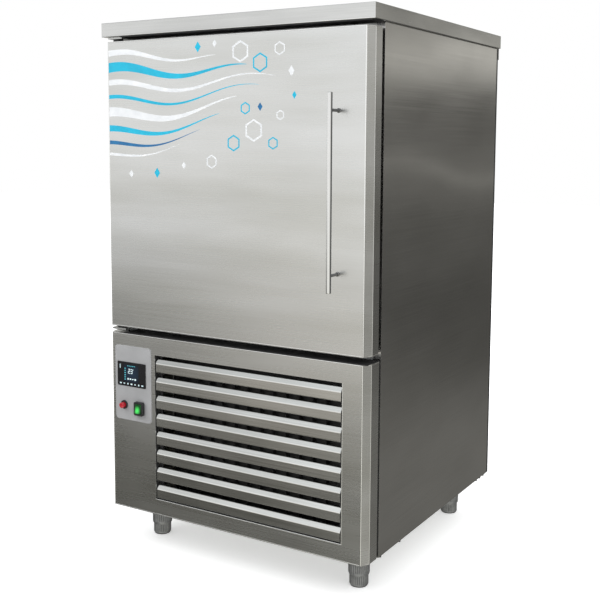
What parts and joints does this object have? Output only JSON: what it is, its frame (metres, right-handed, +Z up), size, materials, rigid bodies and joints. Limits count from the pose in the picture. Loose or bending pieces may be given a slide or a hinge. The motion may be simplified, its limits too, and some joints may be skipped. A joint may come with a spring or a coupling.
{
  "type": "blast chiller",
  "caption": "Free-standing stainless steel blast chiller with a side-hinged insulated door, bar handle, control panel and louvred machine compartment on levelling feet.",
  "frame": {"origin": "on the floor under the middle of the whole outline", "axes": "+X to the right seen from the front, +Y to the back, +Z up; the door faces -Y"},
  "size_m": [0.79, 0.846, 1.38],
  "materials": {
    "brushed_steel": "horizontal brushed grain",
    "side_steel": "brushed grain, darker by reflection",
    "chamber_steel": "bright rolled sheet",
    "polished_steel": "polished",
    "sheet_steel": "satin",
    "galvanised_steel": "galvanised",
    "fin_aluminium": "mill",
    "copper": "drawn copper",
    "black_paint": "semi-gloss paint",
    "foam": "rigid foam",
    "black_plastic": "fine texture",
    "grey_plastic": "moulded",
    "foot_grey": "ribbed moulding",
    "black_rubber": "extruded",
    "display_glass": "glossy",
    "green_lens": "lit lens",
    "red_plastic": "glossy"
  },
  "bodies": {
    "cabinet": {"worktop": "brushed_steel", "side_panel_left": "side_steel", "side_panel_right": "side_steel", "back_panel": "sheet_steel", "rear_vent_panel": "sheet_steel", "cable_gland": "black_plastic", "insulation_body": "foam", "chamber_liner": "chamber_steel", "chamber_front_frame": "chamber_steel", "tray_rack_left": "chamber_steel", "tray_rack_right": "chamber_steel", "fan_baffle": "chamber_steel", "evaporator_coil": "fin_aluminium", "evaporator_fan_motor_lower": "fin_aluminium", "evaporator_fan_motor_upper": "fin_aluminium", "upper_hinge_bracket": "sheet_steel", "lower_hinge_bracket": "sheet_steel", "front_panel": "brushed_steel", "front_panel_seal": "black_rubber", "louvre_grille": "brushed_steel", "control_plate": "sheet_steel", "display_module": "display_glass", "switch_bezel": "black_plastic", "button_collar": "black_plastic", "base_frame": "galvanised_steel", "condenser_coil": "black_paint", "condenser_shroud": "galvanised_steel", "condenser_fan_motor": "black_paint", "compressor": "black_paint", "liquid_receiver": "black_paint", "discharge_pipe": "copper", "suction_pipe": "copper", "feed_pipe": "copper", "condensate_tray": "grey_plastic", "drain_pipe": "grey_plastic", "control_box": "sheet_steel", "foot_sleeve_front_left": "foot_grey", "foot_sleeve_front_right": "foot_grey", "foot_sleeve_rear_left": "foot_grey", "foot_sleeve_rear_right": "foot_grey"},
    "door": {"door_skin": "brushed_steel", "door_insulation": "foam", "door_liner": "chamber_steel", "door_gasket": "black_rubber", "lower_hinge_bush": "black_plastic", "upper_hinge_bush": "black_plastic", "handle_bar": "polished_steel", "handle_post_lower": "polished_steel", "handle_post_upper": "polished_steel"},
    "evaporator_fan_lower": {"evaporator_fan_lower": "fin_aluminium"},
    "evaporator_fan_upper": {"evaporator_fan_upper": "fin_aluminium"},
    "condenser_fan": {"condenser_fan": "fin_aluminium"},
    "rocker_switch": {"rocker_switch": "green_lens"},
    "reset_button": {"reset_button": "red_plastic"},
    "foot_front_left": {"foot_front_left": "foot_grey"},
    "foot_front_right": {"foot_front_right": "foot_grey"},
    "foot_rear_left": {"foot_rear_left": "foot_grey"},
    "foot_rear_right": {"foot_rear_right": "foot_grey"}
  },
  "joints": [
    {"name": "door_hinge", "type": "hinge", "parent": "cabinet", "child": "door", "pos_m": [-0.3605, -0.351, 0.9635], "axis": [0, 0, -1], "range_deg": [0, 110]},
    {"name": "evaporator_fan_lower_spin", "type": "hinge", "parent": "cabinet", "child": "evaporator_fan_lower", "pos_m": [0, 0.183, 0.80175], "axis": [0, 1, 0], "continuous": true},
    {"name": "evaporator_fan_upper_spin", "type": "hinge", "parent": "cabinet", "child": "evaporator_fan_upper", "pos_m": [0, 0.183, 1.12525], "axis": [0, 1, 0], "continuous": true},
    {"name": "condenser_fan_spin", "type": "hinge", "parent": "cabinet", "child": "condenser_fan", "pos_m": [0.045, -0.227, 0.2991], "axis": [0, 1, 0], "continuous": true},
    {"name": "rocker_tilt", "type": "hinge", "parent": "cabinet", "child": "rocker_switch", "pos_m": [-0.28, -0.3831, 0.382], "axis": [1, 0, 0], "range_deg": [0, 18]},
    {"name": "reset_button_press", "type": "slide", "parent": "cabinet", "child": "reset_button", "axis": [0, 1, 0], "range_m": [0, 0.003], "stiffness_N_per_m": 300, "springref_m": -0.001},
    {"name": "foot_front_left_height", "type": "slide", "parent": "cabinet", "child": "foot_front_left", "axis": [0, 0, -1], "range_m": [0, 0.03]},
    {"name": "foot_front_right_height", "type": "slide", "parent": "cabinet", "child": "foot_front_right", "axis": [0, 0, -1], "range_m": [0, 0.03]},
    {"name": "foot_rear_left_height", "type": "slide", "parent": "cabinet", "child": "foot_rear_left", "axis": [0, 0, -1], "range_m": [0, 0.03]},
    {"name": "foot_rear_right_height", "type": "slide", "parent": "cabinet", "child": "foot_rear_right", "axis": [0, 0, -1], "range_m": [0, 0.03]}
  ]
}
